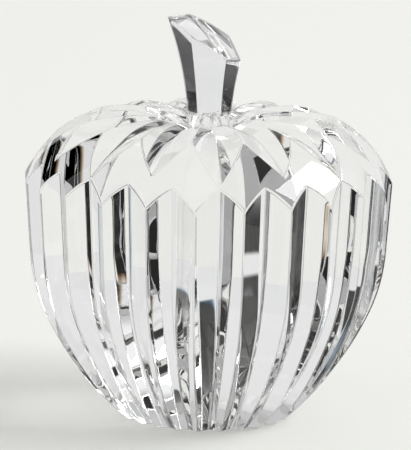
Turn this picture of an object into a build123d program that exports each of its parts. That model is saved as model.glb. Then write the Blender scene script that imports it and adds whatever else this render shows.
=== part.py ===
"""Cut-crystal apple: a solid mitre-cut body, a six-sided stem and the clear bond that holds the stem.

Millimetres, +Z up. The origin is the middle of the base, and a long leaf cut faces -Y.
"""

import os
from math import asin, atan2, cos, degrees, hypot, radians, sin, sqrt, tan

from build123d import *

os.makedirs("parts", exist_ok=True)

# Mitre wheels
flute_angle = 130.0  # included angle of the flutes
leaf_angle = 142.0  # included angle of the leaves
flute_reach = 9.0  # height of the V section that cuts the flutes
leaf_reach = 4.0  # height of the V section that cuts the leaves

# Cut pattern
leaf_pairs = 8  # one long and one short leaf each
flutes_per_pair = 3

# Upright flutes, given by their outer ridges and by the arcs of their keels
shoulder_radius = 44.7  # ridge radius at the zigzag's lowest points
shoulder_height = 58.0
side_lean = 3.6  # lean of the sides, in degrees from upright
side_drop = 17.2  # height of the straight sides, down to where they turn in
belly_arc = 43.4
belly_end = 22.8  # lean at which the belly arc meets the heel arc, degrees
heel_arc = 80.0

# Shoulder, crown and dimple of the blank
shoulder_arc = 28.0
shoulder_lean = 22.5  # lean of the dome at the zigzag's lowest points, degrees
crown_start = 66.0  # slope angle at which the shoulder arc meets the crown arc, degrees
lip_centre_radius = 13.5
lip_lift = 6.0  # centre of the lip's arc above the zigzag's lowest points
lip_cut_arc = 8.6  # keel radius of the leaves where they turn down into the dimple
seat_lift = 5.0  # ground seat of the dimple above the centre of the lip's arc
stock_allowance = 2.0  # glass on the blank outside the finished ridges at the base

# Leaves
long_leaf_inset = 2.4  # tip inside the zigzag's lowest points, where the leaf runs into its flute
long_leaf_arc = 37.0
short_leaf_inset = 4.5
short_leaf_arc = 44.0

# Stem
stem_turn = -3.6  # turn of the stem about the axis, degrees
seat_margin = 1.2  # seat beyond the stem's foot
foot_radius = 5.0
foot_height = 5.0  # round foot, above the seat
peg_radius = 3.5
peg_length = 6.0
bond_gap = 0.15  # film of bond round the peg and under the foot
waist_flat = 4.3  # half the width across flats where the flare's arc is upright
waist_drop = 3.5  # that place below the seat
flare_arc = 108.0
stem_length = 23.9  # seat to the slanted top, on the axis
top_arc = 36.3  # arc of the slanted top, which is domed along its fall
top_slope = 0.654  # fall of the top on the axis
top_turn = -20.9  # direction of that fall about the axis from the stem's own +X, degrees

# Values worked out from those above
run_out = 4.0  # degrees that a cutter runs on past the end of its cut
front = -90.0  # direction of the first long leaf about the axis
from_below = (Align.CENTER, Align.CENTER, Align.MIN)
from_above = (Align.CENTER, Align.CENTER, Align.MAX)
leaf_pitch = 180.0 / leaf_pairs
flute_count = leaf_pairs * flutes_per_pair
flute_pitch = 360.0 / flute_count
flute_rise = 1.0 / tan(radians(flute_angle / 2))  # rise of a flute's flank per mm sideways
leaf_rise = 1.0 / tan(radians(leaf_angle / 2))
belly_height = shoulder_height - side_drop
lip_centre_height = shoulder_height + lip_lift
seat_height = lip_centre_height + seat_lift
foot_top = seat_height + foot_height
stem_height = seat_height + stem_length
waist_height = seat_height - waist_drop
long_leaf_tip = shoulder_radius - long_leaf_inset
short_leaf_tip = shoulder_radius - short_leaf_inset


def ridge_share(lean):
    """Keel radius over ridge radius of neighbouring flutes, for a keel that leans by so many degrees."""
    half = radians(flute_pitch / 2)
    return cos(half) - sin(half) * flute_rise / cos(radians(lean))


def lean_out(lean):
    """Unit vector square to a keel, away from the axis, in the (radius, height) plane."""
    return cos(radians(lean)), -sin(radians(lean))


def along(start, direction, distance):
    """The point at a distance from a start point, in the (radius, height) plane."""
    return start[0] + distance * direction[0], start[1] + distance * direction[1]


def section_plane(point, out):
    """Plane square to a keel at one of its points: X away from the glass, Y across the cut."""
    return Plane(
        origin=(point[0], 0, point[1]),
        x_dir=(out[0], 0, out[1]),
        z_dir=(-out[1], 0, out[0]),
    )


def mitre_section(point, out, reach, rise):
    """V section of a mitre wheel, with its point on a keel."""
    with BuildSketch(section_plane(point, out)) as section:
        with BuildLine():
            Polyline(
                (0, 0),
                (reach, reach / rise),
                (reach, -reach / rise),
                close=True,
            )
        make_face()
    return section.sketch


def upright_axis(centre):
    """Axis through the centre of a keel's arc, square to the cut's own plane."""
    return Axis((centre[0], 0, centre[1]), (0, 1, 0))


def leaf_centre(tip, arc):
    """Centre of a leaf's keel arc, from its tip and from the lip arc that it runs into."""
    dx = tip[0] - lip_centre_radius
    dz = tip[1] - lip_centre_height
    apart = hypot(dx, dz)
    inner = arc - lip_cut_arc
    share = (inner**2 - arc**2 + apart**2) / (2 * apart)
    rise = sqrt(inner**2 - share**2)
    return (
        lip_centre_radius + (share * dx + rise * dz) / apart,
        lip_centre_height + (share * dz - rise * dx) / apart,
    )


# Flute keel: straight side, belly arc, heel arc
keel_shoulder = shoulder_radius * ridge_share(side_lean)
keel_belly = (keel_shoulder - side_drop * tan(radians(side_lean)), belly_height)
belly_centre = along(keel_belly, lean_out(side_lean), -belly_arc)
keel_heel = along(belly_centre, lean_out(belly_end), belly_arc)
heel_centre = along(keel_heel, lean_out(belly_end), -heel_arc)
base_lean = degrees(asin(heel_centre[1] / heel_arc))
keel_base = heel_centre[0] + heel_arc * cos(radians(base_lean))
ridge_base = keel_base / ridge_share(base_lean)

# Blank profile: shoulder arc, crown arc, lip arc
shoulder_centre = (
    shoulder_radius - shoulder_arc * cos(radians(shoulder_lean)),
    shoulder_height - shoulder_arc * sin(radians(shoulder_lean)),
)
widest_radius = shoulder_centre[0] + shoulder_arc
crown_out = (cos(radians(crown_start)), sin(radians(crown_start)))
crown_edge = along(shoulder_centre, crown_out, shoulder_arc)
lip_ridge = lip_centre_radius * sin(radians(leaf_pitch / 2)) * leaf_rise
lip_arc = lip_cut_arc + lip_ridge
edge_side = crown_edge[0] - lip_centre_radius
edge_rise = crown_edge[1] - lip_centre_height
edge_out = edge_side * crown_out[0] + edge_rise * crown_out[1]
crown_arc = (edge_side**2 + edge_rise**2 - lip_arc**2) / (2 * (edge_out - lip_arc))
crown_centre = along(crown_edge, crown_out, -crown_arc)
lip_side = lip_centre_radius - crown_centre[0]
lip_rise = lip_centre_height - crown_centre[1]
lip_way = (lip_side / hypot(lip_side, lip_rise), lip_rise / hypot(lip_side, lip_rise))
lip_edge = along(crown_centre, lip_way, crown_arc)
throat_radius = lip_centre_radius - sqrt(lip_arc**2 - (seat_height - lip_centre_height) ** 2)


def arc_middle(centre, arc, start, end):
    """A point on an arc between two of its points, in the (radius, height) plane."""
    mid = (start[0] + end[0] - 2 * centre[0], start[1] + end[1] - 2 * centre[1])
    span = hypot(*mid)
    return along(centre, (mid[0] / span, mid[1] / span), arc)


# Flute cutter
with BuildPart() as flute_cutter:
    side_section = mitre_section(keel_belly, lean_out(side_lean), flute_reach, flute_rise)
    extrude(side_section, amount=crown_edge[1] - belly_height)
    revolve(side_section, axis=upright_axis(belly_centre), revolution_arc=belly_end - side_lean)
    heel_section = mitre_section(keel_heel, lean_out(belly_end), flute_reach, flute_rise)
    revolve(heel_section, axis=upright_axis(heel_centre), revolution_arc=base_lean - belly_end + run_out)


def cut_leaf(tip_radius, arc):
    """Adds a leaf cutter to the open part: the keel arc past its tip, and the lip arc into the dimple."""
    tip_rise = sqrt(shoulder_arc**2 - (tip_radius - shoulder_centre[0]) ** 2)
    tip = (tip_radius, shoulder_centre[1] + tip_rise)
    centre = leaf_centre(tip, arc)
    join_side = lip_centre_radius - centre[0]
    join_rise = lip_centre_height - centre[1]
    join_angle = atan2(join_rise, join_side)
    join_out = (cos(join_angle), sin(join_angle))
    join = along(centre, join_out, arc)
    tip_angle = atan2(tip[1] - centre[1], tip[0] - centre[0])
    dimple_angle = radians(180) - asin((seat_height - lip_centre_height) / lip_cut_arc)
    section = mitre_section(join, join_out, leaf_reach, leaf_rise)
    revolve(section, axis=upright_axis(centre), revolution_arc=degrees(join_angle - tip_angle) + run_out)
    revolve(
        section,
        axis=upright_axis((lip_centre_radius, lip_centre_height)).reverse(),
        revolution_arc=degrees(dimple_angle - join_angle),
    )


with BuildPart() as long_leaf_cutter:
    cut_leaf(long_leaf_tip, long_leaf_arc)

with BuildPart() as short_leaf_cutter:
    cut_leaf(short_leaf_tip, short_leaf_arc)

# One repeat of the pattern: half of it is turned, cut with two flutes and two leaves, and mirrored
with BuildPart() as repeat:
    with BuildSketch(Plane.XZ):
        with BuildLine():
            foot_edge = (ridge_base + stock_allowance, 0)
            side_foot = (widest_radius, belly_height)
            side_top = (widest_radius, shoulder_centre[1])
            throat = (throat_radius, seat_height)
            lip_centre = (lip_centre_radius, lip_centre_height)
            shoulder_middle = arc_middle(shoulder_centre, shoulder_arc, side_top, crown_edge)
            crown_middle = arc_middle(crown_centre, crown_arc, crown_edge, lip_edge)
            lip_middle = arc_middle(lip_centre, lip_arc, lip_edge, throat)
            Line((0, 0), foot_edge)
            TangentArc(side_foot, foot_edge, tangent=(0, -1))
            Line(side_foot, side_top)
            ThreePointArc(side_top, shoulder_middle, crown_edge)
            ThreePointArc(crown_edge, crown_middle, lip_edge)
            ThreePointArc(lip_edge, lip_middle, throat)
            Polyline(throat, (0, seat_height), (0, 0))
        make_face()
    revolve(axis=Axis.Z, revolution_arc=leaf_pitch)
    for flute in range(flutes_per_pair // 2 + 1):
        add(flute_cutter.part, rotation=(0, 0, flute * flute_pitch), mode=Mode.SUBTRACT)
    add(long_leaf_cutter.part, mode=Mode.SUBTRACT)
    add(short_leaf_cutter.part, rotation=(0, 0, leaf_pitch), mode=Mode.SUBTRACT)
    mirror(about=Plane.XZ)

# Body: the repeats joined, then the seat and the socket
with BuildPart() as apple_body:
    with PolarLocations(0, leaf_pairs, start_angle=front):
        add(repeat.part)
    with Locations((0, 0, seat_height)):
        Cylinder(foot_radius + seat_margin, lip_arc, align=from_below, mode=Mode.SUBTRACT)
        Cylinder(peg_radius + bond_gap, peg_length, align=from_above, mode=Mode.SUBTRACT)
apple_body.part.label = "apple_body"
export_step(apple_body.part, "parts/apple_body.step")

# Stem: six flared flats, domed slanted top, round foot and peg
foot_bottom = seat_height + bond_gap
top_lean = atan2(top_slope, 1)
top_centre = along((0, stem_height), (sin(top_lean), cos(top_lean)), -top_arc)
blank_top = stem_height + flare_arc / 8


def flat_at(height):
    """Half the width across flats of the stem at a height."""
    return waist_flat + flare_arc - sqrt(flare_arc**2 - (height - waist_height) ** 2)


with BuildPart() as stem:
    for flat_turn in (0, 60, 120):
        flat_plane = Plane.YZ.rotated((0, 0, stem_turn + flat_turn))
        with BuildSketch(flat_plane):
            with BuildLine():
                low = flat_at(foot_top)
                mid_height = (foot_top + blank_top) / 2
                mid = flat_at(mid_height)
                high = flat_at(blank_top)
                Line((-low, foot_top), (low, foot_top))
                ThreePointArc((low, foot_top), (mid, mid_height), (high, blank_top))
                Line((high, blank_top), (-high, blank_top))
                ThreePointArc((-high, blank_top), (-mid, mid_height), (-low, foot_top))
            make_face()
        extrude(amount=3 * foot_radius, both=True, mode=Mode.ADD if flat_turn == 0 else Mode.INTERSECT)
    with BuildSketch(Plane.XZ):
        with BuildLine():
            rim = foot_radius + blank_top - foot_top
            Polyline(
                (0, foot_top),
                (foot_radius, foot_top),
                (rim, blank_top),
                (0, blank_top),
                close=True,
            )
        make_face()
    revolve(axis=Axis.Z, mode=Mode.INTERSECT)
    with BuildSketch(Plane.XZ.rotated((0, 0, stem_turn + top_turn))):
        with Locations(top_centre):
            Circle(top_arc)
    extrude(amount=3 * foot_radius, both=True, mode=Mode.INTERSECT)
    with Locations((0, 0, foot_bottom)):
        Cylinder(foot_radius, foot_top - foot_bottom, align=from_below)
        Cylinder(peg_radius, peg_length, align=from_above)
stem.part.label = "stem"
export_step(stem.part, "parts/stem.step")

# Bond: film under the foot, round the peg and below it
with BuildPart() as stem_bond:
    with BuildSketch(Plane.XZ):
        with BuildLine():
            socket_bottom = seat_height - peg_length
            Polyline(
                (0, socket_bottom),
                (peg_radius + bond_gap, socket_bottom),
                (peg_radius + bond_gap, seat_height),
                (foot_radius, seat_height),
                (foot_radius, foot_bottom),
                (peg_radius, foot_bottom),
                (peg_radius, socket_bottom + bond_gap),
                (0, socket_bottom + bond_gap),
                close=True,
            )
        make_face()
    revolve(axis=Axis.Z)
stem_bond.part.label = "stem_bond"
export_step(stem_bond.part, "parts/stem_bond.step")
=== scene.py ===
"""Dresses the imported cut-crystal apple: polished body and stem, clear bond, floor, studio light and camera.

Sizes are in millimetres until a mesh is finished, and then in metres in the row frame: +Z up, front
towards -Y.
"""

import logging
import math
from dataclasses import dataclass
from enum import Enum, IntEnum
from typing import Callable, ClassVar

import bmesh
import bpy
import numpy as np
from mathutils import Matrix, Vector


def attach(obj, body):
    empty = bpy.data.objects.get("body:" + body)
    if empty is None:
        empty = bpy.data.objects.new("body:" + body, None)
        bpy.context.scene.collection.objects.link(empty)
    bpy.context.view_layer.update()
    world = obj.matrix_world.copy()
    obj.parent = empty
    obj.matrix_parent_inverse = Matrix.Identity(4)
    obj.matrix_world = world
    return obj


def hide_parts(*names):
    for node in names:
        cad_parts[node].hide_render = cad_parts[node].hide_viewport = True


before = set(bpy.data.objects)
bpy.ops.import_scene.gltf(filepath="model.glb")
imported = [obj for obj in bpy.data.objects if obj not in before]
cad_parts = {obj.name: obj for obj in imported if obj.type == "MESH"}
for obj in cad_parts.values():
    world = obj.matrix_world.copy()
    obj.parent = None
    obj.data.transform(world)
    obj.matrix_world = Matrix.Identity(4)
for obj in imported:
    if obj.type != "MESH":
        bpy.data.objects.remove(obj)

Array = np.ndarray
Field = Callable[[Array], Array]
Material = bpy.types.Material
Socket = bpy.types.NodeSocket
log = logging.getLogger("cut_apple")

MM = 0.001
WELD = 0.001
BODY = "root"


class Face(IntEnum):
    """Kinds of face on a crystal piece, in the order of its material slots."""

    POLISHED = 0
    JOINED = 1


class Flank(IntEnum):
    """The two flanks of a V cut; the one ahead is counter-clockwise of the keel, seen from above."""

    AHEAD = 1
    BEHIND = -1


def solve(rises: Field, low: Array, high: Array, steps: int = 48) -> Array:
    """Finds by halving where a rising function crosses zero.

    Args:
        rises: function of an array, below zero at low and above zero at high.
        low: lower ends of the search.
        high: upper ends of the search.
        steps: number of halvings.

    Returns:
        The crossings, one for each entry.
    """
    low = np.array(low, float)
    high = np.array(high, float)
    for _ in range(steps):
        middle = (low + high) / 2
        above = rises(middle) > 0
        high = np.where(above, middle, high)
        low = np.where(above, low, middle)
    return (low + high) / 2


def round_max(first: Array, second: Array, width: float) -> Array:
    """Larger of two fields, with the crease between them rounded.

    Args:
        first: first field.
        second: second field.
        width: difference of the fields at which the rounding ends.

    Returns:
        The rounded larger field.
    """
    lap = np.maximum(width - np.abs(first - second), 0)
    return np.maximum(first, second) + lap**2 / (4 * width)


def turn_about_axis(points: Array, angle: float) -> Array:
    """Turns points about the Z axis.

    Args:
        points: array of points, last axis x, y, z.
        angle: turn in radians, counter-clockwise from above.

    Returns:
        The turned points.
    """
    x, y, z = np.moveaxis(points, -1, 0)
    c, s = math.cos(angle), math.sin(angle)
    return np.stack([c * x - s * y, s * x + c * y, z], -1)


def crowded(count: int, rims: tuple[float, ...]) -> Array:
    """Steps from 0 to 1 with extra ones at fixed distances from both ends.

    Args:
        count: number of even steps between the rims.
        rims: distances of the extra steps from each end, rising.

    Returns:
        The rising steps, with 0 and 1.
    """
    inner = np.linspace(rims[-1], 1 - rims[-1], count + 1)
    start = np.array([0.0, *rims[:-1]])
    return np.concatenate([start, inner, 1 - start[::-1]])


@dataclass(frozen=True)
class CutSizes:
    """Sizes of the blank and of its cuts, as the solids have them, in millimetres and degrees.

    The polish is the width over which each kind of edge is rounded.
    """

    flute_angle: float = 130.0
    leaf_angle: float = 142.0
    leaf_pitch: float = 22.5
    flute_pitch: float = 15.0
    shoulder_radius: float = 44.7
    shoulder_height: float = 58.0
    side_lean: float = 3.6
    side_drop: float = 17.2
    belly_arc: float = 43.4
    belly_end: float = 22.8
    heel_arc: float = 80.0
    shoulder_arc: float = 28.0
    shoulder_lean: float = 22.5
    crown_start: float = 66.0
    lip_radius: float = 13.5
    lip_height: float = 64.0
    lip_cut_arc: float = 8.6
    seat_height: float = 69.0
    seat_radius: float = 6.2
    foot_radius: float = 5.0
    socket_radius: float = 3.65
    socket_floor: float = 63.0
    long_leaf_arc: float = 37.0
    short_leaf_inset: float = 4.5
    short_leaf_arc: float = 44.0
    ridge_polish: float = 0.25
    leaf_polish: float = 0.18
    outline_polish: float = 0.1
    zigzag_polish: float = 0.14
    base_polish: float = 0.1
    keel_polish: float = 0.1


class MitreKeel:
    """Keel of a V cut, in the plane of radius and height."""

    def __init__(self, angle: float) -> None:
        """Works out the slope of the cut's flanks.

        Args:
            angle: included angle of the cut, in degrees.
        """
        self.rise = 1 / math.tan(math.radians(angle / 2))
        self.square = math.sin(math.radians(angle / 2))

    def at(self, place: Array) -> tuple[Array, Array]:
        """Points of the keel and directions out of the glass, at places along it."""
        raise NotImplementedError

    def over(self, radius: Array, height: Array) -> Array:
        """Distance of points from the keel, out of the glass."""
        raise NotImplementedError


class FluteKeel(MitreKeel):
    """Keel of an upright flute: straight side, belly arc and heel arc."""

    def __init__(self, sizes: CutSizes) -> None:
        """Works out the arcs' centres.

        Args:
            sizes: sizes of the cuts.
        """
        super().__init__(sizes.flute_angle)
        half = math.radians(sizes.flute_pitch / 2)
        self.lean = math.radians(sizes.side_lean)
        self.turn = math.radians(sizes.belly_end)
        self.belly_arc = sizes.belly_arc
        self.heel_arc = sizes.heel_arc
        self.belly_run = sizes.belly_arc * (self.turn - self.lean)
        self.half_tan = math.tan(half)
        share = math.cos(half) - math.sin(half) * self.rise / math.cos(self.lean)
        top = sizes.shoulder_radius * share
        inset = sizes.side_drop * math.tan(self.lean)
        self.foot = np.array([top - inset, sizes.shoulder_height - sizes.side_drop])
        self.belly = self.foot - sizes.belly_arc * self.out_at(self.lean)
        self.heel = self.belly + (sizes.belly_arc - sizes.heel_arc) * self.out_at(self.turn)

    @staticmethod
    def out_at(lean: float) -> Array:
        """Direction square to the keel, away from the glass, at a lean."""
        return np.array([math.cos(lean), -math.sin(lean)])

    def at(self, place: Array) -> tuple[Array, Array]:
        """Points of the keel.

        Args:
            place: distance along the keel from the foot of the straight side, upwards.

        Returns:
            The points and the directions out of the glass, last axis radius and height.
        """
        on_side = place >= 0
        on_belly = place >= -self.belly_run
        belly_lean = self.lean - place / self.belly_arc
        heel_lean = self.turn - (place + self.belly_run) / self.heel_arc
        lean = np.where(on_side, self.lean, np.where(on_belly, belly_lean, heel_lean))
        out = np.stack([np.cos(lean), -np.sin(lean)], -1)
        side = self.foot + place[..., None] * np.array([math.sin(self.lean), math.cos(self.lean)])
        belly = self.belly + self.belly_arc * out
        heel = self.heel + self.heel_arc * out
        low = np.where(on_belly[..., None], belly, heel)
        return np.where(on_side[..., None], side, low), out

    def over(self, radius: Array, height: Array) -> Array:
        """Distance of points from the keel, out of the glass.

        Args:
            radius: distances of the points from the axis.
            height: heights of the points.

        Returns:
            The distances, below zero on the side of the glass.
        """
        heel_x, heel_z = radius - self.heel[0], height - self.heel[1]
        belly_x, belly_z = radius - self.belly[0], height - self.belly[1]
        out = self.out_at(self.lean)
        side = (radius - self.foot[0]) * out[0] + (height - self.foot[1]) * out[1]
        on_belly = np.arctan2(-belly_z, belly_x) > self.lean
        on_heel = np.arctan2(-heel_z, heel_x) > self.turn
        upper = np.where(on_belly, np.hypot(belly_x, belly_z) - self.belly_arc, side)
        return np.where(on_heel, np.hypot(heel_x, heel_z) - self.heel_arc, upper)

    def ridge(self, place: Array) -> Array:
        """Half width of the flute, out to the ridge that it shares with the next flute."""
        point, out = self.at(place)
        return point[..., 0] * self.half_tan / (1 - out[..., 0] * self.rise * self.half_tan)


class LeafKeel(MitreKeel):
    """Keel of a leaf: one arc from its tip, and the lip arc into the dimple."""

    def __init__(self, sizes: CutSizes, tip: Array, arc: float) -> None:
        """Works out the arc's centre from its tip and from the lip arc that it runs into.

        Args:
            sizes: sizes of the cuts.
            tip: radius and height of the leaf's tip.
            arc: radius of the leaf's keel.
        """
        super().__init__(sizes.leaf_angle)
        self.arc = arc
        self.lip_arc = sizes.lip_cut_arc
        self.lip = np.array([sizes.lip_radius, sizes.lip_height])
        apart = tip - self.lip
        span = math.hypot(*apart)
        inner = arc - self.lip_arc
        share = (inner**2 - arc**2 + span**2) / (2 * span)
        side = math.sqrt(inner**2 - share**2)
        self.centre = self.lip + (share * apart + side * np.array([apart[1], -apart[0]])) / span
        self.start = math.atan2(*(tip - self.centre)[::-1])
        self.join = math.atan2(*(self.lip - self.centre)[::-1])

    def at(self, place: Array) -> tuple[Array, Array]:
        """Points of the keel.

        Args:
            place: slope angle of the keel's outward direction, in radians.

        Returns:
            The points and the directions out of the glass, last axis radius and height.
        """
        out = np.stack([np.cos(place), np.sin(place)], -1)
        on_lip = (place > self.join)[..., None]
        return np.where(on_lip, self.lip + self.lip_arc * out, self.centre + self.arc * out), out

    def over(self, radius: Array, height: Array) -> Array:
        """Distance of points from the keel, out of the glass.

        Args:
            radius: distances of the points from the axis.
            height: heights of the points.

        Returns:
            The distances, below zero on the side of the glass.
        """
        lip_x, lip_z = radius - self.lip[0], height - self.lip[1]
        on_lip = np.arctan2(lip_z, lip_x) > self.join
        arc = np.hypot(radius - self.centre[0], np.maximum(height - self.centre[1], 0)) - self.arc
        return np.where(on_lip, np.hypot(lip_x, lip_z) - self.lip_arc, arc)

    def angle_of(self, radius: Array, height: Array) -> Array:
        """Slope angle of the keel's outward direction through points.

        Args:
            radius: distances of the points from the axis.
            height: heights of the points.

        Returns:
            The angles, in radians.
        """
        lip = np.arctan2(height - self.lip[1], radius - self.lip[0])
        arc = np.arctan2(height - self.centre[1], radius - self.centre[0])
        return np.where(lip > self.join, lip, arc)


class PolishedForm:
    """Shape of a polished piece as a field: below zero in the glass, above zero outside."""

    def field(self, points: Array) -> Array:
        """Field of the piece at points, with its edges rounded."""
        raise NotImplementedError

    def slope(self, points: Array, step: float = 0.004) -> Array:
        """Rate of change of the field at points.

        Args:
            points: points, last axis x, y, z.
            step: distance to each side at which the field is read.

        Returns:
            The rates, last axis x, y, z.
        """
        parts = []
        for axis in range(3):
            shift = np.zeros(3)
            shift[axis] = step
            parts.append((self.field(points + shift) - self.field(points - shift)) / (2 * step))
        return np.stack(parts, -1)

    def pressed(self, points: Array, rounds: int = 6) -> Array:
        """Moves points onto the polished surface, along the field's slope.

        Args:
            points: points near the surface, last axis x, y, z.
            rounds: number of moves, each closer than the one before.

        Returns:
            The points on the surface.
        """
        for _ in range(rounds):
            slope = self.slope(points)
            points = points - slope * (self.field(points) / (slope**2).sum(-1))[..., None]
        return points


class CutBlank(PolishedForm):
    """The blank and all its cuts as one field."""

    # End of the search for the dome, in mm up a flute's straight side
    LONGEST_SIDE: ClassVar[float] = 40.0

    def __init__(self, sizes: CutSizes) -> None:
        """Works out the dome's arcs and the keels.

        Args:
            sizes: sizes of the blank and of the cuts.
        """
        self.sizes = sizes
        self.pitch = math.radians(sizes.leaf_pitch)
        self.flute_pitch = math.radians(sizes.flute_pitch)
        lean, start = math.radians(sizes.shoulder_lean), math.radians(sizes.crown_start)
        foot = np.array([sizes.shoulder_radius, sizes.shoulder_height])
        self.shoulder = foot - sizes.shoulder_arc * np.array([math.cos(lean), math.sin(lean)])
        self.lip = np.array([sizes.lip_radius, sizes.lip_height])
        leaf_rise = MitreKeel(sizes.leaf_angle).rise
        self.lip_arc = sizes.lip_cut_arc + sizes.lip_radius * math.sin(self.pitch / 2) * leaf_rise
        way = np.array([math.cos(start), math.sin(start)])
        edge = self.shoulder + sizes.shoulder_arc * way - self.lip
        self.crown_arc = (edge @ edge - self.lip_arc**2) / (2 * (edge @ way - self.lip_arc))
        self.crown = self.shoulder + (sizes.shoulder_arc - self.crown_arc) * way
        self.crown_start = start
        self.crown_end = math.atan2(*(self.lip - self.crown)[::-1])
        self.flute = FluteKeel(sizes)
        self.long_leaf = LeafKeel(sizes, self.flute_exit(), sizes.long_leaf_arc)
        tip = sizes.shoulder_radius - sizes.short_leaf_inset
        rise = math.sqrt(sizes.shoulder_arc**2 - (tip - self.shoulder[0]) ** 2)
        self.short_leaf = LeafKeel(sizes, np.array([tip, self.shoulder[1] + rise]), sizes.short_leaf_arc)

    def flute_exit(self) -> Array:
        """Finds where a flute's keel leaves the dome.

        Returns:
            The radius and the height.
        """
        end = np.array([self.LONGEST_SIDE])
        run = solve(lambda place: self.dome(*self.flute.at(place)[0].T), np.zeros_like(end), end)
        return self.flute.at(run)[0][0]

    def dome(self, radius: Array, height: Array) -> Array:
        """Distance of points from the uncut dome, out of the glass.

        Args:
            radius: distances of the points from the axis.
            height: heights of the points.

        Returns:
            The distances, below zero in the glass.
        """
        sizes = self.sizes
        crown_x, crown_z = radius - self.crown[0], height - self.crown[1]
        lip_x, lip_z = radius - self.lip[0], height - self.lip[1]
        slope = np.arctan2(crown_z, crown_x)
        shoulder_x = radius - self.shoulder[0]
        shoulder_z = np.maximum(height - self.shoulder[1], 0)
        shoulder = np.hypot(shoulder_x, shoulder_z) - sizes.shoulder_arc
        crown = np.hypot(crown_x, crown_z) - self.crown_arc
        lip = np.hypot(lip_x, lip_z) - self.lip_arc
        upper = np.where(slope > self.crown_end, lip, crown)
        return np.where(slope > self.crown_start, upper, shoulder)

    def cut(self, points: Array, keel: MitreKeel, azimuth: float, polish: float) -> Array:
        """Field of one V cut, above zero where it takes glass away.

        Args:
            points: points, last axis x, y, z.
            keel: the cut's keel.
            azimuth: direction of the cut about the axis, in radians.
            polish: width over which the keel is rounded.

        Returns:
            The field at the points.
        """
        local = turn_about_axis(points, -azimuth)
        side = np.sqrt(local[..., 1] ** 2 + polish**2)
        return (keel.over(local[..., 0], local[..., 2]) - keel.rise * side) * keel.square

    def fold(self, points: Array) -> Array:
        """Mirrors and turns points into the half repeat between a long and a short leaf.

        Args:
            points: points anywhere round the axis, last axis x, y, z.

        Returns:
            The points' likenesses in the half repeat.
        """
        azimuth = np.arctan2(points[..., 1], points[..., 0])
        folded = np.abs((azimuth + self.pitch) % (2 * self.pitch) - self.pitch)
        radius = np.hypot(points[..., 0], points[..., 1])
        return np.stack([radius * np.cos(folded), radius * np.sin(folded), points[..., 2]], -1)

    def leaves(self, points: Array, polish: float, keel_polish: float) -> Array:
        """Field of the leaves next to the half repeat.

        Args:
            points: points in the half repeat, last axis x, y, z.
            polish: width over which the ridges between leaves are rounded.
            keel_polish: width over which the keels are rounded.

        Returns:
            The field, above zero where a leaf takes glass away.
        """
        total = self.cut(points, self.long_leaf, 0, keel_polish)
        for azimuth in (self.pitch, -self.pitch):
            next_leaf = self.cut(points, self.short_leaf, azimuth, keel_polish)
            total = round_max(total, next_leaf, polish)
        return total

    def flutes(self, points: Array, polish: float, keel_polish: float) -> Array:
        """Field of the flutes next to the half repeat.

        Args:
            points: points in the half repeat, last axis x, y, z.
            polish: width over which the ridges between flutes are rounded.
            keel_polish: width over which the keels are rounded.

        Returns:
            The field, above zero where a flute takes glass away.
        """
        total = self.cut(points, self.flute, 0, keel_polish)
        for step in (-1, 1, 2):
            next_flute = self.cut(points, self.flute, step * self.flute_pitch, keel_polish)
            total = round_max(total, next_flute, polish)
        return total

    def field(self, points: Array) -> Array:
        """Field of the whole polished body, with its edges rounded.

        Args:
            points: points, last axis x, y, z.

        Returns:
            The field, below zero in the glass.
        """
        sizes = self.sizes
        near = self.fold(points)
        radius = np.hypot(near[..., 0], near[..., 1])
        leaves = self.leaves(near, sizes.leaf_polish, sizes.keel_polish)
        flutes = self.flutes(near, sizes.ridge_polish, sizes.keel_polish)
        total = round_max(self.dome(radius, near[..., 2]), leaves, sizes.outline_polish)
        in_dimple = np.minimum(total, near[..., 2] - sizes.seat_height)
        total = np.where(radius < sizes.lip_radius, in_dimple, total)
        total = round_max(total, flutes, sizes.zigzag_polish)
        total = round_max(total, -near[..., 2], sizes.base_polish)
        seat = np.minimum(sizes.seat_radius - radius, near[..., 2] - sizes.seat_height)
        socket = np.minimum(sizes.socket_radius - radius, near[..., 2] - sizes.socket_floor)
        return np.maximum(total, np.maximum(seat, socket))


def add_patch(bm: bmesh.types.BMesh, points: Array, kind: Face) -> None:
    """Adds a grid of faces and lays its vertices on given points.

    Args:
        bm: mesh that receives the patch.
        points: points by row and column.
        kind: kind of the faces.
    """
    half = 0.5
    rows, columns = points.shape[0] - 1, points.shape[1] - 1
    made = bmesh.ops.create_grid(bm, x_segments=columns, y_segments=rows, size=half)["verts"]
    for vert in made:
        column = round((vert.co.x + half) * columns)
        row = round((vert.co.y + half) * rows)
        vert.co = points[row, column]
    for face in {face for vert in made for face in vert.link_faces}:
        face.material_index = kind


def press_mesh(bm: bmesh.types.BMesh, form: PolishedForm) -> None:
    """Welds a mesh's patches and moves its vertices onto the polished form.

    Args:
        bm: mesh in millimetres.
        form: form that the mesh is pressed to.
    """
    bmesh.ops.remove_doubles(bm, verts=bm.verts, dist=WELD)
    bmesh.ops.dissolve_degenerate(bm, edges=bm.edges, dist=WELD)
    points = form.pressed(np.array([vert.co for vert in bm.verts]))
    for vert, point in zip(bm.verts, points):
        vert.co = point


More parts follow.
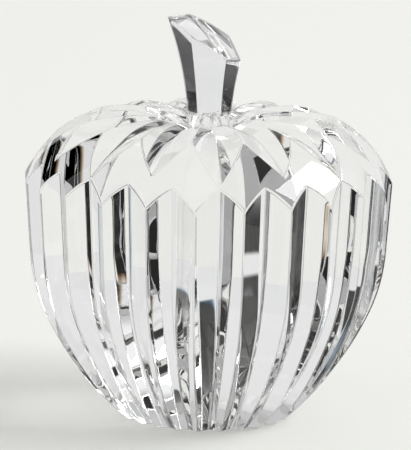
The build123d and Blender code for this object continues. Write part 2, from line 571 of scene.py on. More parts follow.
class CrystalPiece:
    """A piece of polished crystal that takes the place of a CAD node.

    NODE is the node, NAME the name of the object and TURN the mesh's last turn about the axis, in degrees.
    The form gives the surface that the mesh is pressed to.
    """

    NODE: ClassVar[str]
    NAME: ClassVar[str]
    TURN: ClassVar[float] = 0.0
    form: PolishedForm

    def build(self) -> bmesh.types.BMesh:
        """Makes the closed mesh, in millimetres."""
        raise NotImplementedError

    def finished(self) -> bpy.types.Object:
        """Builds the mesh, turns and scales it, and links it as an object at the origin.

        Returns:
            The object, with its place in its mesh and with the form's smooth normals.
        """
        bm = self.build()
        turn = math.radians(self.TURN)
        slope = self.form.slope(np.array([vert.co for vert in bm.verts]))
        slope = turn_about_axis(slope / np.linalg.norm(slope, axis=-1, keepdims=True), turn)
        bmesh.ops.rotate(bm, verts=bm.verts, cent=(0, 0, 0), matrix=Matrix.Rotation(turn, 3, "Z"))
        bmesh.ops.scale(bm, vec=(MM, MM, MM), verts=bm.verts)
        mesh = bpy.data.meshes.new(self.NAME)
        bm.to_mesh(mesh)
        bm.free()
        mesh.shade_smooth()
        mesh.normals_split_custom_set_from_vertices(slope.tolist())
        made = bpy.data.objects.new(self.NAME, mesh)
        bpy.context.scene.collection.objects.link(made)
        return made

    def dress(self, piece: bpy.types.Object, crystal: Material, joined: Material) -> None:
        """Gives a finished piece its materials and its place in the frame.

        Args:
            piece: the finished piece.
            crystal: material of the polished faces.
            joined: material of the faces that the bond wets.
        """
        piece.data.materials.append(crystal)
        piece.data.materials.append(joined)
        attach(piece, BODY)
        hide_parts(self.NODE)


@dataclass
class AppleBody(CrystalPiece):
    """The solid body: one half repeat in patches, mirrored and spun round the axis."""

    NODE: ClassVar[str] = "apple_body"
    NAME: ClassVar[str] = "crystal_body"
    TURN: ClassVar[float] = -90.0
    REPEATS: ClassVar[int] = 8

    # Rows and columns of the mesh, as shares, counts, insets, ring radii and ring heights
    FLANK_COLUMNS: ClassVar[Array] = crowded(6, (0.02, 0.045, 0.08))
    FLANK_ROWS: ClassVar[Array] = crowded(56, (0.0014, 0.004))
    DIMPLE_ROWS: ClassVar[Array] = crowded(18, (0.01, 0.03))
    APEX_ROWS: ClassVar[int] = 30
    SHORT_TIP_ROW: ClassVar[int] = 8
    RIM_SHARES: ClassVar[tuple[float, ...]] = (0, 0.1, 0.4, 1)
    SEAT_RINGS: ClassVar[tuple[float, ...]] = (5.9, 5.5)
    SOCKET_RINGS: ClassVar[tuple[float, ...]] = (67.0, 65.0)
    SOCKET_MIDDLE: ClassVar[float] = 1.8
    BASE_INSETS: ClassVar[tuple[float, ...]] = (0.1, 0.25, 0.5, 1.5)
    BASE_SHARES: ClassVar[tuple[float, ...]] = (0.75, 0.5, 0.25, 0)

    # Ends of searches: in mm along a flute and out from the dome's middle, in radians round a leaf's keel
    BASE_SEARCH: ClassVar[tuple[float, float]] = (-70.0, 0.0)
    ZIGZAG_SEARCH: ClassVar[tuple[float, float]] = (8.0, 30.0)
    DOME_SEARCH: ClassVar[tuple[float, float]] = (10.0, 40.0)
    SEAT_SEARCH: ClassVar[tuple[float, float]] = (math.radians(100), math.radians(170))
    PAST_TIP: ClassVar[float] = 0.05
    PAST_JOIN: ClassVar[float] = 0.3

    sizes: CutSizes = CutSizes()

    def __post_init__(self) -> None:
        """Works out the field of the cut blank."""
        self.form = CutBlank(self.sizes)

    def lay(self, keel: MitreKeel, place: Array, reach: Array, azimuth: float, side: Flank) -> Array:
        """Points on one flank of a V cut.

        Args:
            keel: the cut's keel.
            place: places along the keel.
            reach: distances sideways from the keel.
            azimuth: direction of the cut about the axis.
            side: which flank.

        Returns:
            The points, last axis x, y, z.
        """
        point, out = keel.at(place)
        lifted = point + out * (keel.rise * reach)[..., None]
        flat = np.stack([lifted[..., 0], side * reach, lifted[..., 1]], -1)
        return turn_about_axis(flat, azimuth)

    def over_dome(self, points: Array) -> Array:
        """Field of the uncut dome."""
        return self.form.dome(np.hypot(points[..., 0], points[..., 1]), points[..., 2])

    def in_long_leaf(self, points: Array) -> Array:
        """Field of the long leaf, above zero where it takes glass away."""
        return self.form.cut(points, self.form.long_leaf, 0, 0)

    def in_short_leaf(self, points: Array) -> Array:
        """Field of the short leaf, above zero where it takes glass away."""
        return self.form.cut(points, self.form.short_leaf, self.form.pitch, 0)

    def crown_field(self, points: Array) -> Array:
        """Field of the dome with its leaves, with sharp edges."""
        leaves = np.maximum(self.in_long_leaf(points), self.in_short_leaf(points))
        return np.maximum(self.over_dome(points), leaves)

    def flank(self, flute: int, side: Flank) -> Array:
        """Points of one flank of a flute, from the base up to the zigzag.

        Args:
            flute: number of the flute, counted from the long leaf.
            side: which flank.

        Returns:
            Points by row and column, the columns from the keel to the ridge.
        """
        keel = self.form.flute
        share = self.FLANK_COLUMNS
        azimuth = flute * self.form.flute_pitch

        def point_at(run: Array) -> Array:
            """Points of the columns at their runs along the keel."""
            return self.lay(keel, run, share * keel.ridge(run), azimuth, side)

        base_ends = (np.full_like(share, end) for end in self.BASE_SEARCH)
        base = solve(lambda run: point_at(run)[..., 2], *base_ends)
        top_ends = (np.full_like(share, end) for end in self.ZIGZAG_SEARCH)
        top = solve(lambda run: self.crown_field(point_at(run)), *top_ends)
        return point_at(base + self.FLANK_ROWS[:, None] * (top - base))

    def leaf_reach(self, keel: LeafKeel, place: Array, azimuth: float, side: Flank, bound: Field) -> Array:
        """Distance sideways from a leaf's keel to where its flank ends.

        Args:
            keel: the leaf's keel.
            place: slope angles along the keel.
            azimuth: direction of the leaf about the axis.
            side: which flank.
            bound: field that rises above zero beyond the flank.

        Returns:
            The distances.
        """
        low = np.zeros_like(place)
        middle = self.lay(keel, place, low, azimuth, side)
        next_keel = np.hypot(middle[..., 0], middle[..., 1]) * math.tan(self.form.pitch)
        return solve(lambda reach: bound(self.lay(keel, place, reach, azimuth, side)), low, next_keel)

    def dimple_end(self, keel: LeafKeel, azimuth: float, side: Flank, bound: Field) -> Array:
        """Slope angles at which a leaf's flank meets the seat.

        Args:
            keel: the leaf's keel.
            azimuth: direction of the leaf about the axis.
            side: which flank.
            bound: field that rises above zero beyond the flank.

        Returns:
            The angles, by column.
        """
        share = self.FLANK_COLUMNS

        def past_seat(place: Array) -> Array:
            """Tests slope angles along the keel.

            Args:
                place: slope angles, by column.

            Returns:
                The distances below the seat or inside its edge, above zero past it.
            """
            reach = self.leaf_reach(keel, place, azimuth, side, bound)
            points = self.lay(keel, place, share * reach, azimuth, side)
            radius = np.hypot(points[..., 0], points[..., 1])
            return np.maximum(self.sizes.seat_height - points[..., 2], self.sizes.seat_radius - radius)

        return solve(past_seat, *(np.full_like(share, end) for end in self.SEAT_SEARCH))

    def long_leaf_patch(self) -> Array:
        """Points of the long leaf's flank, from its tip past the apex of the dome down to the seat.

        Returns:
            Points by row and column, the columns from the keel to the outline.
        """
        keel, share, side = self.form.long_leaf, self.FLANK_COLUMNS, Flank.AHEAD

        def beyond(points: Array) -> Array:
            """Field that ends the flank."""
            return np.maximum(self.over_dome(points), self.in_short_leaf(points))

        def past_apex(place: Array) -> Array:
            """Field of the short leaf along the outline in the dome."""
            reach = self.leaf_reach(keel, place, 0, side, self.over_dome)
            return self.in_short_leaf(self.lay(keel, place, reach, 0, side))

        start = np.array([keel.start + self.PAST_TIP])
        apex = solve(past_apex, start, np.array([keel.join + self.PAST_JOIN]))[0]
        rows = np.linspace(keel.start, apex, self.APEX_ROWS + 1)
        end = self.dimple_end(keel, 0, side, beyond)
        down = apex + self.DIMPLE_ROWS[1:, None] * (end - apex)
        place = np.concatenate([np.repeat(rows[:, None], len(share), 1), down])
        reach = self.leaf_reach(keel, place, 0, side, beyond)
        reach[0] = 0
        return self.lay(keel, place, share * reach, 0, side)

    def short_leaf_patch(self, ridge: Array) -> Array:
        """Points of the short leaf's flank, which shares the long leaf's outline below the apex.

        Args:
            ridge: points of the long leaf's outline below the apex.

        Returns:
            Points by row and column, the columns from the keel to the outline.
        """
        keel, pitch = self.form.short_leaf, self.form.pitch
        share, side = self.FLANK_COLUMNS, Flank.BEHIND
        tip_rows = self.APEX_ROWS - self.SHORT_TIP_ROW

        def beyond(points: Array) -> Array:
            """Field that ends the flank."""
            return np.maximum(self.over_dome(points), self.in_long_leaf(points))

        turned = turn_about_axis(ridge, -pitch)
        met = keel.angle_of(turned[:, 0], turned[:, 2])
        rows = np.linspace(keel.start, met[0], tip_rows + 1)
        end = self.dimple_end(keel, pitch, side, beyond)
        down = met[1:, None] + self.DIMPLE_ROWS[1:, None] * (end - end[-1])
        place = np.concatenate([np.repeat(rows[:, None], len(share), 1), down])
        reach = self.leaf_reach(keel, place, pitch, side, beyond)
        reach[0] = 0
        patch = self.lay(keel, place, share * reach, pitch, side)
        patch[tip_rows:, -1] = ridge
        return patch

    def dome_patch(self, zigzag: Array, left: Array, right: Array) -> Array:
        """Points of the dome between two leaves, from the zigzag up to the apex where the leaves meet.

        Args:
            zigzag: points of the lower edge.
            left: points along the long leaf's outline, up to the apex.
            right: points along the short leaf's outline, up to the apex.

        Returns:
            Points by row and column.
        """
        middle = (self.form.shoulder + self.form.crown) / 2

        def chart(points: Array) -> Array:
            """Lays points of the dome on a flat chart.

            Args:
                points: points, last axis x, y, z.

            Returns:
                The points' azimuths and slopes from the dome's middle, on the last axis.
            """
            radius = np.hypot(points[..., 0], points[..., 1])
            slope = np.arctan2(points[..., 2] - middle[1], radius - middle[0])
            return np.stack([np.arctan2(points[..., 1], points[..., 0]), slope], -1)

        low = chart(zigzag)
        left_side = chart(left)
        outline = chart(right)
        lift = np.linspace(0, 1, self.SHORT_TIP_ROW + 1)[:-1, None]
        right_side = np.concatenate([low[-1] + lift * (outline[0] - low[-1]), outline])
        along = (low[:, 0] / low[-1, 0])[None, :, None]
        down = np.linspace(1, 0, self.APEX_ROWS + 1)[:, None, None]
        straight = left_side[0] + along * (right_side[0] - left_side[0])
        across = left_side[:, None] + along * (right_side - left_side)[:, None]
        flat = across + down * (low - straight)
        way = np.stack([np.cos(flat[..., 1]), np.sin(flat[..., 1])], -1)

        def rises(span: Array) -> Array:
            """Distance over the dome at spans from its middle."""
            spot = middle + span[..., None] * way
            return self.form.dome(spot[..., 0], spot[..., 1])

        span = solve(rises, *(np.full(flat.shape[:2], end) for end in self.DOME_SEARCH))
        spot = middle + span[..., None] * way
        azimuth = flat[..., 0]
        return np.stack([spot[..., 0] * np.cos(azimuth), spot[..., 0] * np.sin(azimuth), spot[..., 1]], -1)

    def dimple_patches(self, rim: Array) -> tuple[Array, Array]:
        """Points of the seat and of the socket below the dimple's rim.

        Args:
            rim: lowest points of the leaves, from the long leaf to the short one.

        Returns:
            The seat down to the foot's edge, and the part that the bond covers.
        """
        sizes = self.sizes
        azimuth = np.arctan2(rim[:, 1], rim[:, 0])

        def ring(radius: float, height: float) -> Array:
            """Points at a radius and a height, in the rim's directions."""
            level = np.full_like(azimuth, height)
            return np.stack([radius * np.cos(azimuth), radius * np.sin(azimuth), level], -1)

        corner = ring(sizes.seat_radius, sizes.seat_height)
        rows = [rim + share * (corner - rim) for share in self.RIM_SHARES]
        rows += [ring(radius, sizes.seat_height) for radius in (*self.SEAT_RINGS, sizes.foot_radius)]
        wall = (sizes.seat_height, *self.SOCKET_RINGS, sizes.socket_floor)
        bonded = [rows[-1]] + [ring(sizes.socket_radius, height) for height in wall]
        bonded += [ring(radius, sizes.socket_floor) for radius in (self.SOCKET_MIDDLE, 0)]
        return np.stack(rows), np.stack(bonded)

    def base_patch(self, edge: Array) -> Array:
        """Points of the base, from its edge to the axis.

        Args:
            edge: points of the edge, from the long leaf to the short one.

        Returns:
            Points by row and column.
        """
        radius = np.hypot(edge[:, 0], edge[:, 1])[:, None]
        shares = [np.ones_like(radius)] + [1 - inset / radius for inset in self.BASE_INSETS]
        shares += [np.full_like(radius, share) for share in self.BASE_SHARES]
        flat = np.stack([share * edge for share in shares])
        flat[..., 2] = 0
        return flat

    @staticmethod
    def joined_row(flanks: list[Array], row: int) -> Array:
        """Joins one row of neighbouring flanks, of which every second one runs back to its keel.

        Args:
            flanks: flanks by row and column, from the long leaf to the short one.
            row: number of the row.

        Returns:
            The row's points, each place once.
        """
        parts = [flanks[0][row]]
        for number, flank in enumerate(flanks[1:], 1):
            way = -1 if number % 2 else 1
            parts.append(flank[row][::way][1:])
        return np.concatenate(parts)

    def build(self) -> bmesh.types.BMesh:
        """Makes the whole body.

        Returns:
            The closed mesh, in millimetres.
        """
        apex, tip_rows = self.APEX_ROWS, self.APEX_ROWS - self.SHORT_TIP_ROW
        flutes = [self.flank(0, Flank.AHEAD), self.flank(1, Flank.BEHIND), self.flank(1, Flank.AHEAD)]
        foot, zigzag = (self.joined_row(flutes, row) for row in (0, -1))
        long_leaf = self.long_leaf_patch()
        short_leaf = self.short_leaf_patch(long_leaf[apex:, -1])
        dome = self.dome_patch(zigzag, long_leaf[:apex + 1, -1], short_leaf[:tip_rows + 1, -1])
        seat, bonded = self.dimple_patches(self.joined_row([long_leaf, short_leaf], -1))
        bm = bmesh.new()
        for patch in [*flutes, long_leaf, short_leaf, dome, self.base_patch(foot), seat]:
            add_patch(bm, patch, Face.POLISHED)
        add_patch(bm, bonded, Face.JOINED)
        press_mesh(bm, self.form)
        half = bm.verts[:] + bm.edges[:] + bm.faces[:]
        bmesh.ops.mirror(bm, geom=half, matrix=Matrix(), merge_dist=WELD / 2, axis="Y")
        step = 2 * math.pi / self.REPEATS
        bmesh.ops.spin(
            bm,
            geom=bm.verts[:] + bm.edges[:] + bm.faces[:],
            cent=(0, 0, 0),
            axis=(0, 0, 1),
            angle=step * (self.REPEATS - 1),
            steps=self.REPEATS - 1,
            use_duplicate=True,
        )
        bmesh.ops.remove_doubles(bm, verts=bm.verts, dist=WELD)
        bmesh.ops.recalc_face_normals(bm, faces=bm.faces)
        return bm


@dataclass(frozen=True)
class StemSizes:
    """Sizes of the stem, as the solids have them, in millimetres and degrees.

    The polish is the width over which each kind of edge is rounded.
    """

    turn: float = -3.6
    sides: int = 6
    waist_flat: float = 4.3
    waist_height: float = 65.5
    flare_arc: float = 108.0
    top_height: float = 92.9
    top_arc: float = 36.3
    top_slope: float = 0.654
    top_turn: float = -20.9
    foot_radius: float = 5.0
    foot_top: float = 74.0
    foot_bottom: float = 69.15
    peg_radius: float = 3.5
    peg_bottom: float = 63.15
    corner_polish: float = 0.3
    rim_polish: float = 0.22
    foot_polish: float = 0.2


class StemForm(PolishedForm):
    """The flared six-sided stem on its round foot and peg, as one field."""

    def __init__(self, sizes: StemSizes) -> None:
        """Keeps the sizes.

        Args:
            sizes: sizes of the stem.
        """
        self.sizes = sizes

    def flat_width(self, height: Array) -> Array:
        """Distance of the stem's flats from the axis.

        Args:
            height: heights on the stem.

        Returns:
            The distances.
        """
        arc = self.sizes.flare_arc
        over_waist = height - self.sizes.waist_height
        return self.sizes.waist_flat + arc - np.sqrt(arc**2 - over_waist**2)

    def top_centre(self) -> tuple[float, float]:
        """Finds the centre of the domed top's arc.

        Returns:
            Its distance from the axis along the top's fall, and its height.
        """
        lean = math.atan(self.sizes.top_slope)
        arc = self.sizes.top_arc
        return -arc * math.sin(lean), self.sizes.top_height - arc * math.cos(lean)

    def along_fall(self, x: Array, y: Array) -> Array:
        """Distance from the axis along the top's fall, over points of the stem's own plan."""
        turn = math.radians(self.sizes.top_turn)
        return x * math.cos(turn) + y * math.sin(turn)

    def top(self, x: Array, y: Array) -> Array:
        """Height of the slanted, domed top over points of the stem's own plan."""
        centre, height = self.top_centre()
        return height + np.sqrt(self.sizes.top_arc**2 - (self.along_fall(x, y) - centre) ** 2)

    def shaft(self, local: Array) -> Array:
        """Field of the six-sided part.

        Args:
            local: points in the stem's own plan, last axis x, y, z.

        Returns:
            The field, below zero in the glass.
        """
        sizes = self.sizes
        x, y, z = np.moveaxis(local, -1, 0)
        width = self.flat_width(z)
        total = np.full_like(x, -math.inf)
        for side in range(sizes.sides):
            angle = 2 * math.pi * (side + 1 / 2) / sizes.sides
            flat = x * math.cos(angle) + y * math.sin(angle) - width
            total = round_max(total, flat, sizes.corner_polish)
        cone = (np.hypot(x, y) - sizes.foot_radius - z + sizes.foot_top) / math.sqrt(2)
        total = round_max(total, cone, sizes.foot_polish)
        centre, height = self.top_centre()
        over_top = np.hypot(self.along_fall(x, y) - centre, z - height) - sizes.top_arc
        return round_max(total, over_top, sizes.rim_polish)

    def field(self, points: Array) -> Array:
        """Field of the whole stem, with its edges rounded.

        Args:
            points: points, last axis x, y, z.

        Returns:
            The field, below zero in the glass.
        """
        sizes = self.sizes
        local = turn_about_axis(points, -math.radians(sizes.turn))
        radius, z = np.hypot(local[..., 0], local[..., 1]), local[..., 2]
        shaft = np.maximum(self.shaft(local), sizes.foot_top - z)
        foot = round_max(radius - sizes.foot_radius, z - sizes.foot_top, sizes.foot_polish)
        foot = np.maximum(foot, sizes.foot_bottom - z)
        peg = np.maximum(radius - sizes.peg_radius, np.maximum(sizes.peg_bottom - z, z - sizes.foot_top))
        return np.minimum(shaft, np.minimum(foot, peg))


@dataclass
class Stem(CrystalPiece):
    """The stem: rings from the peg up to the slanted top, pressed to the polished form."""

    NODE: ClassVar[str] = "stem"
    NAME: ClassVar[str] = "crystal_stem"

    # Rows and columns of the mesh, as shares, ring heights and drops below the foot's top
    FLAT_COLUMNS: ClassVar[Array] = crowded(6, (0.012, 0.03, 0.07))
    SHAFT_ROWS: ClassVar[Array] = crowded(30, (0.003, 0.007, 0.014, 0.025, 0.04))
    CAP_SHARES: ClassVar[tuple[float, ...]] = (0.985, 0.96, 0.9, 0.75, 0.5, 0.25, 0.0)
    PEG_SHARES: ClassVar[tuple[float, ...]] = (0, 0.5, 1)
    PEG_RINGS: ClassVar[tuple[float, ...]] = (65.0, 67.0)
    FOOT_DROPS: ClassVar[tuple[float, ...]] = (4.0, 3.0, 2.0, 1.0, 0.4, 0.2, 0.1, 0.0)

    # End of the search for the top, in mm above the foot
    LONGEST_SHAFT: ClassVar[float] = 40.0

    sizes: StemSizes = StemSizes()

    def __post_init__(self) -> None:
        """Works out the form and the directions of the mesh's columns."""
        sides = self.sizes.sides
        self.form = StemForm(self.sizes)
        steps = np.arange(sides)[:, None] + self.FLAT_COLUMNS[None, :-1]
        self.azimuth = np.append(steps.ravel(), sides) * 2 * math.pi / sides

    def ring(self, radius: Array, height: Array) -> Array:
        """Points round the axis at each column's radius and height."""
        flat = np.ones_like(self.azimuth)
        return np.stack([radius * np.cos(self.azimuth), radius * np.sin(self.azimuth), height * flat], -1)

    def shaft_radius(self, height: Array) -> Array:
        """Radius of the six-sided part in each column's direction.

        Args:
            height: the columns' heights.

        Returns:
            The radii, by column.
        """
        side = 2 * math.pi / self.sizes.sides
        reach = self.form.flat_width(height) / np.cos(self.azimuth % side - side / 2)
        return np.minimum(reach, self.sizes.foot_radius + height - self.sizes.foot_top)

    def shaft_top(self) -> Array:
        """Finds where each column meets the slanted top.

        Returns:
            The heights, by column.
        """

        def above(height: Array) -> Array:
            """Height over the slanted top."""
            points = self.ring(self.shaft_radius(height), height)
            return height - self.form.top(points[:, 0], points[:, 1])

        start = np.full_like(self.azimuth, self.sizes.foot_top)
        return solve(above, start, start + self.LONGEST_SHAFT)

    def build(self) -> bmesh.types.BMesh:
        """Makes the whole stem.

        Returns:
            The closed mesh, in millimetres.
        """
        sizes = self.sizes
        peg = [self.ring(share * sizes.peg_radius, sizes.peg_bottom) for share in self.PEG_SHARES]
        peg += [self.ring(sizes.peg_radius, height) for height in (*self.PEG_RINGS, sizes.foot_bottom)]
        peg.append(self.ring(sizes.foot_radius, sizes.foot_bottom))
        foot = [self.ring(sizes.foot_radius, sizes.foot_top - drop) for drop in self.FOOT_DROPS]
        top = self.shaft_top()
        shaft = []
        for share in self.SHAFT_ROWS:
            height = sizes.foot_top + share * (top - sizes.foot_top)
            shaft.append(self.ring(self.shaft_radius(height), height))
        for share in self.CAP_SHARES:
            cap = shaft[len(self.SHAFT_ROWS) - 1] * share
            cap[:, 2] = self.form.top(cap[:, 0], cap[:, 1])
            shaft.append(cap)
        turn = math.radians(sizes.turn)
        bm = bmesh.new()
        add_patch(bm, turn_about_axis(np.stack(peg), turn), Face.JOINED)
        add_patch(bm, turn_about_axis(np.stack([peg[-1], *foot, *shaft]), turn), Face.POLISHED)
        press_mesh(bm, self.form)
        bmesh.ops.recalc_face_normals(bm, faces=bm.faces)
        return bm


def object_noise(material: Material, scale: float, detail: float) -> Socket:
    """Adds a noise on Object coordinates to a material.

    Args:
        material: material that receives the nodes.
        scale: number of the noise's cells to the metre.
        detail: number of its finer layers.

    Returns:
        The noise's value, from 0 to 1.
    """
    nodes, links = material.node_tree.nodes, material.node_tree.links
    place = nodes.new("ShaderNodeTexCoord")
    noise = nodes.new("ShaderNodeTexNoise")
    noise.inputs["Scale"].default_value = scale
    noise.inputs["Detail"].default_value = detail
    links.new(place.outputs["Object"], noise.inputs["Vector"])
    return noise.outputs["Fac"]


@dataclass(frozen=True)
class Crystal:
    """Acid-polished clear lead crystal, with the faint waves that the acid leaves."""

    name: str = "polished_crystal"
    tint: tuple[float, float, float] = (0.985, 0.99, 0.99)
    roughness: float = 0.0
    ior: float = 1.59
    wave_scale: float = 90.0
    wave_detail: float = 1.0
    wave_strength: float = 0.02
    wave_height: float = 0.001

    def material(self) -> Material:
        """Makes the material.

        Returns:
            The material.
        """
        made = bpy.data.materials.new(self.name)
        made.use_nodes = True
        nodes, links = made.node_tree.nodes, made.node_tree.links
        shader = nodes["Principled BSDF"]
        shader.inputs["Base Color"].default_value = (*self.tint, 1)
        shader.inputs["Roughness"].default_value = self.roughness
        shader.inputs["IOR"].default_value = self.ior
        shader.inputs["Transmission Weight"].default_value = 1.0
        bump = nodes.new("ShaderNodeBump")
        bump.inputs["Strength"].default_value = self.wave_strength
        bump.inputs["Distance"].default_value = self.wave_height
        links.new(object_noise(made, self.wave_scale, self.wave_detail), bump.inputs["Height"])
        links.new(bump.outputs["Normal"], shader.inputs["Normal"])
        return made


@dataclass(frozen=True)
class ClearFilm:
    """Clear cured adhesive, or a face that it wets, seen inside the glass and a little cloudy."""

    name: str
    tint: tuple[float, float, float] = (0.96, 0.93, 0.92)
    cover: float = 0.0
    cloud_scale: float = 400.0
    cloud_detail: float = 2.0
    roughness: tuple[float, float] = (0.25, 0.35)

    def material(self) -> Material:
        """Makes the material.

        Returns:
            The material, which lets through all but its cover.
        """
        made = bpy.data.materials.new(self.name)
        made.use_nodes = True
        nodes, links = made.node_tree.nodes, made.node_tree.links
        shader = nodes["Principled BSDF"]
        shader.inputs["Base Color"].default_value = (*self.tint, 1)
        shader.inputs["Alpha"].default_value = self.cover
        span = nodes.new("ShaderNodeMapRange")
        span.inputs["To Min"].default_value = self.roughness[0]
        span.inputs["To Max"].default_value = self.roughness[1]
        links.new(object_noise(made, self.cloud_scale, self.cloud_detail), span.inputs["Value"])
        links.new(span.outputs["Result"], shader.inputs["Roughness"])
        return made


@dataclass(frozen=True)
class StemBond:
    """The clear bond between the stem and the body, which keeps the CAD node's shape."""

    node: str = "stem_bond"
    cover: float = 0.06

    def dress(self) -> bpy.types.Object:
        """Gives the CAD node its material.

        Returns:
            The node's object.
        """
        bond = bpy.data.objects[self.node]
        bond.data.materials.clear()
        bond.data.materials.append(ClearFilm("bond_film", cover=self.cover).material())
        return bond


@dataclass(frozen=True)
class SoftArea:
    """A soft-edged panel of the studio, by its direction from the apple, in degrees.

    Azimuth 0 is behind the apple and +90 is to its right. The fringe shifts red and blue to either side.
    """

    INPUTS: ClassVar[tuple[str, ...]] = ("From", "To", "Low", "High", "Edge", "Fringe", "Light")

    azimuth: tuple[float, float]
    height: tuple[float, float]
    light: float
    edge: float
    fringe: float = 0.0

    def settings(self) -> dict[str, float]:
        """Values of the panel's node group, by the names of its inputs."""
        values = (*self.azimuth, *self.height, self.edge, self.fringe, self.light)
        return dict(zip(self.INPUTS, values))


class StudioPart(Enum):
    """The panels round the apple, each laid over the ones before it."""

    BELOW = SoftArea((-200, 200), (-95, -8), light=0.4, edge=3.0)
    NEAR_RIGHT = SoftArea((134, 200), (-8, 50), light=0.38, edge=3.0)
    NEAR_LEFT = SoftArea((-200, -129), (-8, 50), light=0.38, edge=3.0)
    BACKDROP = SoftArea((-62, 58), (-40, 78), light=0.81, edge=3.0)
    SOFT_BOX = SoftArea((58, 134), (19, 58), light=0.95, edge=3.0)
    RIGHT_TABLE = SoftArea((88, 130), (-34, -18), light=0.85, edge=1.0)
    FRONT_CARD = SoftArea((138.5, 148.6), (-10, 15), light=0.8, edge=0.8)
    FILL_CARD = SoftArea((-129.5, -117), (-28, 47), light=0.78, edge=1.5)
    LEFT_FLAG = SoftArea((-64, -19.8), (3, 50), light=0.0, edge=0.4, fringe=0.05)
    LOW_FLAG = SoftArea((-64, -40), (-14, 4), light=0.0, edge=1.0, fringe=0.2)
    STEP_FLAG = SoftArea((-41, -28), (-14, -6.0), light=0.0, edge=0.6, fringe=0.2)
    LIFT_FLAG = SoftArea((-41, -24), (-1.8, 4), light=0.0, edge=0.6, fringe=0.2)
    RIGHT_FLAG = SoftArea((47, 56.5), (-8, 20), light=0.0, edge=1.5, fringe=0.2)
    FRONT_FLAG = SoftArea((132, 138), (3, 42), light=0.0, edge=1.0, fringe=0.12)
    NEAR_FLAG = SoftArea((149, 162), (5, 16), light=0.0, edge=1.0, fringe=0.15)
    SIDE_FLAG = SoftArea((-117.7, -100), (-15, 46), light=0.0, edge=1.0, fringe=0.2)


@dataclass(frozen=True)
class PaleFloor:
    """Pale paper that is lit a little from below as well."""

    name: str = "pale_floor"
    tint: tuple[float, float, float] = (0.85, 0.85, 0.822)
    glow: float = 0.2

    def material(self) -> Material:
        """Makes the material.

        Returns:
            The material.
        """
        made = bpy.data.materials.new(self.name)
        made.use_nodes = True
        nodes, links = made.node_tree.nodes, made.node_tree.links
        nodes.remove(nodes["Principled BSDF"])
        diffuse = nodes.new("ShaderNodeBsdfDiffuse")
        diffuse.inputs["Color"].default_value = (*self.tint, 1)
        glow = nodes.new("ShaderNodeEmission")
        glow.inputs["Color"].default_value = (*self.tint, 1)
        mix = nodes.new("ShaderNodeMixShader")
        mix.inputs["Fac"].default_value = self.glow
        links.new(diffuse.outputs[0], mix.inputs[1])
        links.new(glow.outputs[0], mix.inputs[2])
        links.new(mix.outputs[0], nodes["Material Output"].inputs["Surface"])
        return made


class AreaNodes:
    """The node group that lays one soft-edged panel over a colour."""

    ANGLES: ClassVar[tuple[str, str]] = ("Azimuth", "Height")
    FRINGE_SIDES: ClassVar[dict[str, int]] = {"Red": -1, "Green": 0, "Blue": 1}

    def __init__(self) -> None:
        """Makes the group with its inputs and its output."""
        self.group = bpy.data.node_groups.new("soft_area", "ShaderNodeTree")
        for name in (*self.ANGLES, *SoftArea.INPUTS):
            self.group.interface.new_socket(name, in_out="INPUT", socket_type="NodeSocketFloat")
        self.group.interface.new_socket("Under", in_out="INPUT", socket_type="NodeSocketColor")
        self.group.interface.new_socket("Color", in_out="OUTPUT", socket_type="NodeSocketColor")
        self.given = self.group.nodes.new("NodeGroupInput").outputs
        self.result = self.group.nodes.new("NodeGroupOutput").inputs

    def calc(self, operation: str, *values: Socket | float) -> Socket:
        """Adds a Math node.

        Args:
            operation: the node's operation.
            values: sockets and plain numbers that it works on.

        Returns:
            The node's output.
        """
        node = self.group.nodes.new("ShaderNodeMath")
        node.operation = operation
        for socket, value in zip(node.inputs, values):
            if isinstance(value, (int, float)):
                socket.default_value = value
            else:
                self.group.links.new(value, socket)
        return node.outputs[0]

    def inside(self, value: Socket, low: Socket, high: Socket) -> Socket:
        """Adds nodes that test whether a value lies between two soft limits.

        Args:
            value: the value.
            low: the lower limit.
            high: the upper limit.

        Returns:
            The share of the panel at the value, from 0 to 1.
        """
        over_low = self.calc("SUBTRACT", value, low)
        under_high = self.calc("SUBTRACT", high, value)
        reach = self.calc("MINIMUM", over_low, under_high)
        ramp = self.group.nodes.new("ShaderNodeMapRange")
        ramp.interpolation_type = "SMOOTHSTEP"
        ramp.inputs["From Min"].default_value = -1.0
        self.group.links.new(self.calc("DIVIDE", reach, self.given["Edge"]), ramp.inputs["Value"])
        return ramp.outputs["Result"]

    def build(self) -> bpy.types.NodeTree:
        """Links the group's nodes.

        Returns:
            The group.
        """
        nodes, links, given = self.group.nodes, self.group.links, self.given
        tall = self.inside(given["Height"], given["Low"], given["High"])
        under = nodes.new("ShaderNodeSeparateColor")
        links.new(given["Under"], under.inputs["Color"])
        combined = nodes.new("ShaderNodeCombineColor")
        for channel, side in self.FRINGE_SIDES.items():
            below = under.outputs[channel]
            shifted = self.calc("MULTIPLY_ADD", given["Fringe"], side, given["Azimuth"])
            share = self.calc("MULTIPLY", self.inside(shifted, given["From"], given["To"]), tall)
            change = self.calc("SUBTRACT", given["Light"], below)
            links.new(self.calc("MULTIPLY_ADD", share, change, below), combined.inputs[channel])
        links.new(combined.outputs["Color"], self.result["Color"])
        return self.group


